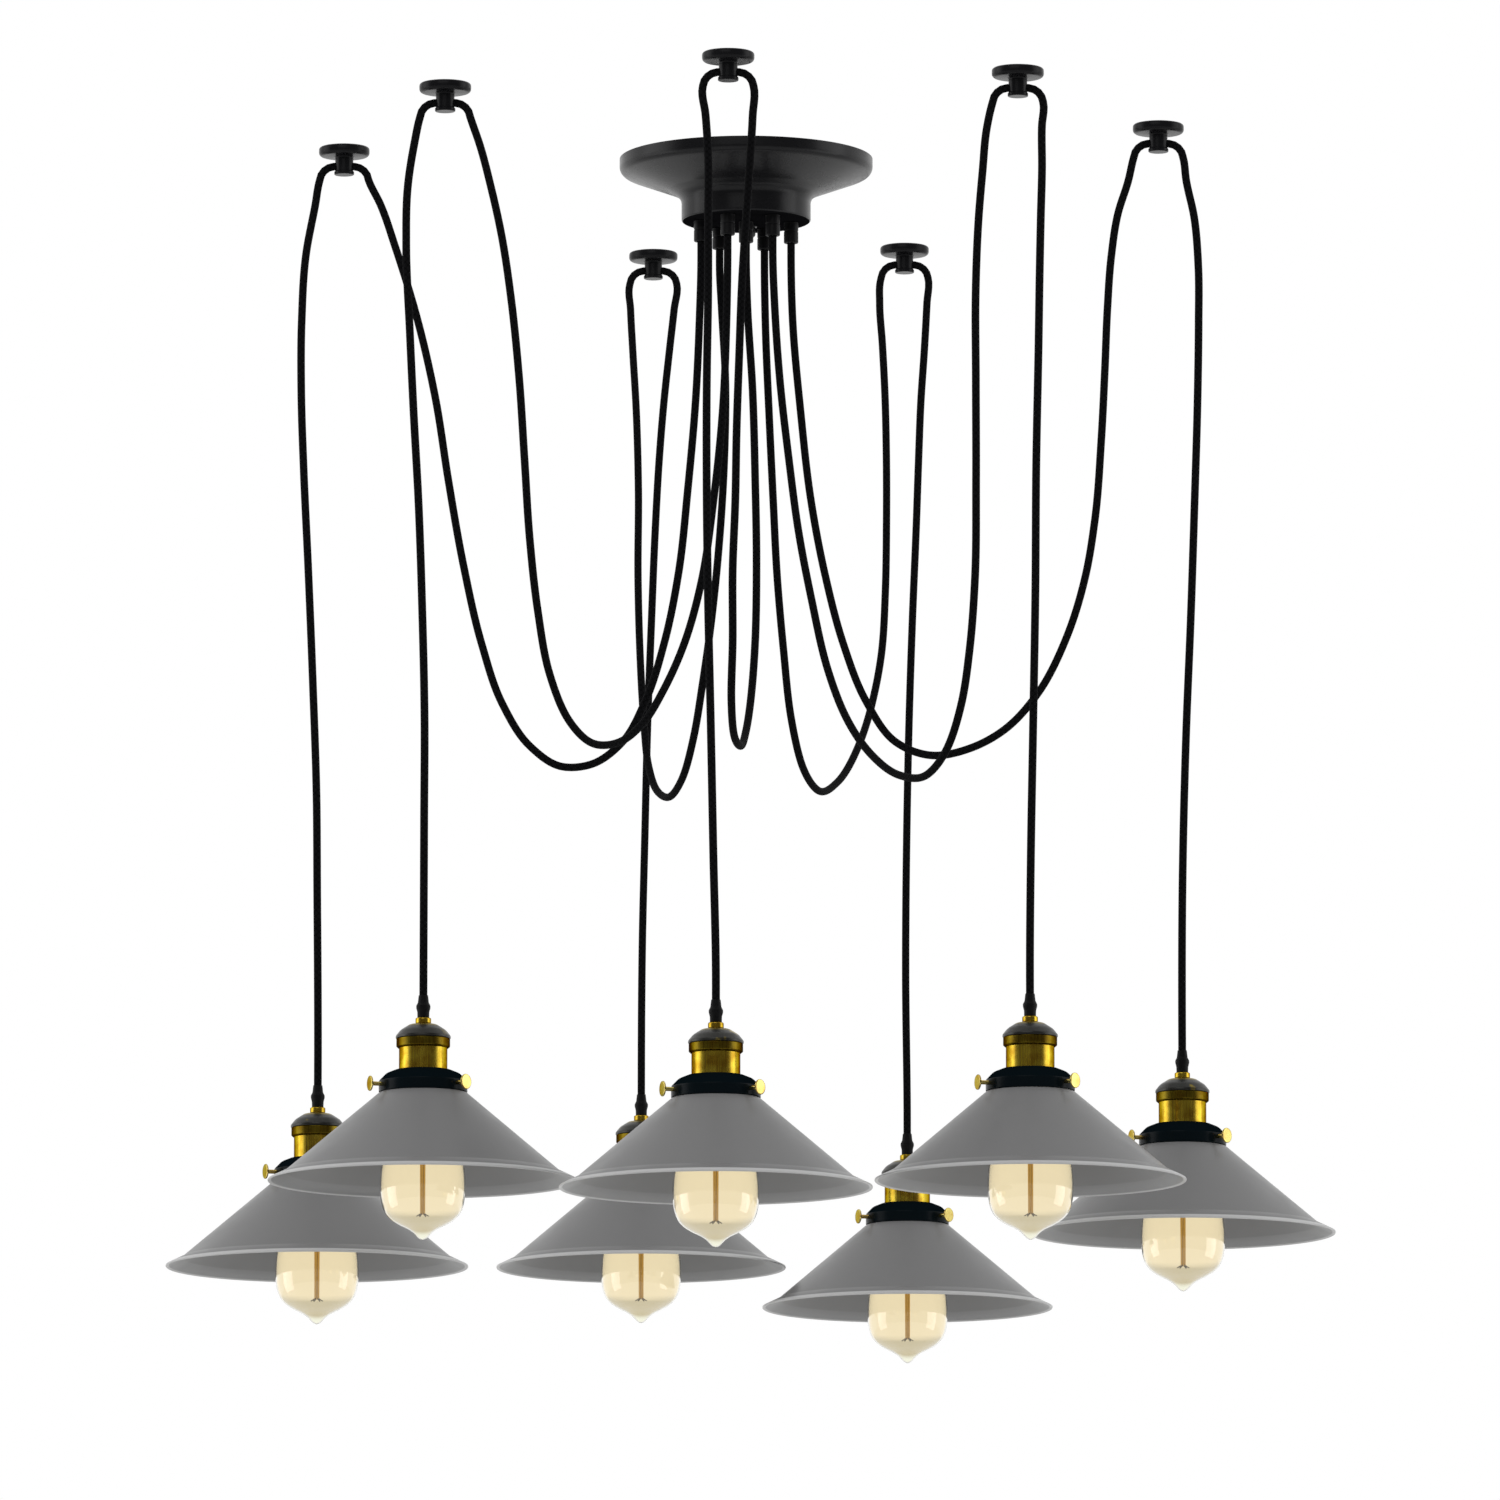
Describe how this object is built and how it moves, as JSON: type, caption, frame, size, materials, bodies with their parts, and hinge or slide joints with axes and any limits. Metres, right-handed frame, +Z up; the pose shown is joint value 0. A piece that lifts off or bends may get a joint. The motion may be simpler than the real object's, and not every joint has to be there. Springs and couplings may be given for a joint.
{
  "type": "spider pendant light",
  "caption": "Spider pendant light: cone shades with pointed bulbs on cords that sag from one ceiling canopy over ceiling hooks. Lamps swing and bulbs unscrew.",
  "frame": {"origin": "on the ceiling plane, at the centre of the mounting bar's top face, under which the canopy is centred", "axes": "+Z up into the ceiling, +X to the right and +Y to the back of the room as seen in the picture"},
  "size_m": [0.8853, 1.0514, 0.911],
  "materials": {
    "black_metal": "semi-gloss black powder coat",
    "zinc_steel": "zinc plated",
    "terminal_nylon": "matt moulded",
    "black_cord": "black braided textile sleeve",
    "bronze_cap": "dark grey-black lacquer, semi-gloss",
    "brass": "polished antique brass",
    "grey_paint": "satin grey, inside and outside",
    "amber_glass": "clear amber, polished"
  },
  "bodies": {
    "ceiling_part": {"canopy_shell": "black_metal", "mounting_bar": "zinc_steel", "canopy_nut": "black_metal", "terminal_block": "terminal_nylon", "ceiling_hook_1": "black_metal", "ceiling_hook_2": "black_metal", "ceiling_hook_3": "black_metal", "ceiling_hook_4": "black_metal", "ceiling_hook_5": "black_metal", "ceiling_hook_6": "black_metal", "ceiling_hook_7": "black_metal", "swag_cord_1": "black_cord", "swag_cord_2": "black_cord", "swag_cord_3": "black_cord", "swag_cord_4": "black_cord", "swag_cord_5": "black_cord", "swag_cord_6": "black_cord", "swag_cord_7": "black_cord"},
    "pendant_1": {"drop_cord_1": "black_cord", "socket_cap_1": "bronze_cap", "socket_shell_1": "brass", "shade_ring_1": "black_metal", "shade_1": "grey_paint"},
    "pendant_2": {"drop_cord_2": "black_cord", "socket_cap_2": "bronze_cap", "socket_shell_2": "brass", "shade_ring_2": "black_metal", "shade_2": "grey_paint"},
    "pendant_3": {"drop_cord_3": "black_cord", "socket_cap_3": "bronze_cap", "socket_shell_3": "brass", "shade_ring_3": "black_metal", "shade_3": "grey_paint"},
    "pendant_4": {"drop_cord_4": "black_cord", "socket_cap_4": "bronze_cap", "socket_shell_4": "brass", "shade_ring_4": "black_metal", "shade_4": "grey_paint"},
    "pendant_5": {"drop_cord_5": "black_cord", "socket_cap_5": "bronze_cap", "socket_shell_5": "brass", "shade_ring_5": "black_metal", "shade_5": "grey_paint"},
    "pendant_6": {"drop_cord_6": "black_cord", "socket_cap_6": "bronze_cap", "socket_shell_6": "brass", "shade_ring_6": "black_metal", "shade_6": "grey_paint"},
    "pendant_7": {"drop_cord_7": "black_cord", "socket_cap_7": "bronze_cap", "socket_shell_7": "brass", "shade_ring_7": "black_metal", "shade_7": "grey_paint"},
    "lamp_bulb_1": {"bulb_1": "amber_glass"},
    "lamp_bulb_2": {"bulb_2": "amber_glass"},
    "lamp_bulb_3": {"bulb_3": "amber_glass"},
    "lamp_bulb_4": {"bulb_4": "amber_glass"},
    "lamp_bulb_5": {"bulb_5": "amber_glass"},
    "lamp_bulb_6": {"bulb_6": "amber_glass"},
    "lamp_bulb_7": {"bulb_7": "amber_glass"}
  },
  "joints": [
    {"name": "pendant_swing_1", "type": "hinge", "parent": "ceiling_part", "child": "pendant_1", "pos_m": [-0.30983, -0.04888, -0.0148], "axis": [1, 0, 0], "range_deg": [-2.5, 30]},
    {"name": "pendant_swing_2", "type": "hinge", "parent": "ceiling_part", "child": "pendant_2", "pos_m": [-0.2261, -0.30515, -0.0148], "axis": [1, 0, 0], "range_deg": [-30, 2.5]},
    {"name": "pendant_swing_3", "type": "hinge", "parent": "ceiling_part", "child": "pendant_3", "pos_m": [-0.0748, 0.4012, -0.0148], "axis": [1, 0, 0], "range_deg": [-12, 30]},
    {"name": "pendant_swing_4", "type": "hinge", "parent": "ceiling_part", "child": "pendant_4", "pos_m": [-0.01317, -0.425, -0.0148], "axis": [1, 0, 0], "range_deg": [-30, 8]},
    {"name": "pendant_swing_5", "type": "hinge", "parent": "ceiling_part", "child": "pendant_5", "pos_m": [0.12707, 0.374, -0.0148], "axis": [1, 0, 0], "range_deg": [-10, 30]},
    {"name": "pendant_swing_6", "type": "hinge", "parent": "ceiling_part", "child": "pendant_6", "pos_m": [0.20315, -0.3638, -0.0148], "axis": [1, 0, 0], "range_deg": [-30, 1.5]},
    {"name": "pendant_swing_7", "type": "hinge", "parent": "ceiling_part", "child": "pendant_7", "pos_m": [0.31493, -0.1428, -0.0148], "axis": [1, 0, 0], "range_deg": [-1.5, 15]},
    {"name": "bulb_turn_1", "type": "hinge", "parent": "pendant_1", "child": "lamp_bulb_1", "pos_m": [-0.32683, -0.04888, -0.866], "axis": [0, 0, 1], "range_deg": [0, 1260]},
    {"name": "bulb_turn_2", "type": "hinge", "parent": "pendant_2", "child": "lamp_bulb_2", "pos_m": [-0.24009, -0.30515, -0.82876], "axis": [0, 0, 1], "range_deg": [0, 1260]},
    {"name": "bulb_turn_3", "type": "hinge", "parent": "pendant_3", "child": "lamp_bulb_3", "pos_m": [-0.08368, 0.4012, -0.8201], "axis": [0, 0, 1], "range_deg": [0, 1260]},
    {"name": "bulb_turn_4", "type": "hinge", "parent": "pendant_4", "child": "lamp_bulb_4", "pos_m": [-0.02206, -0.425, -0.84695], "axis": [0, 0, 1], "range_deg": [0, 1260]},
    {"name": "bulb_turn_5", "type": "hinge", "parent": "pendant_5", "child": "lamp_bulb_5", "pos_m": [0.12802, 0.374, -0.85474], "axis": [0, 0, 1], "range_deg": [0, 1260]},
    {"name": "bulb_turn_6", "type": "hinge", "parent": "pendant_6", "child": "lamp_bulb_6", "pos_m": [0.21014, -0.3638, -0.83482], "axis": [0, 0, 1], "range_deg": [0, 1260]},
    {"name": "bulb_turn_7", "type": "hinge", "parent": "pendant_7", "child": "lamp_bulb_7", "pos_m": [0.32986, -0.1428, -0.85041], "axis": [0, 0, 1], "range_deg": [0, 1260]}
  ]
}
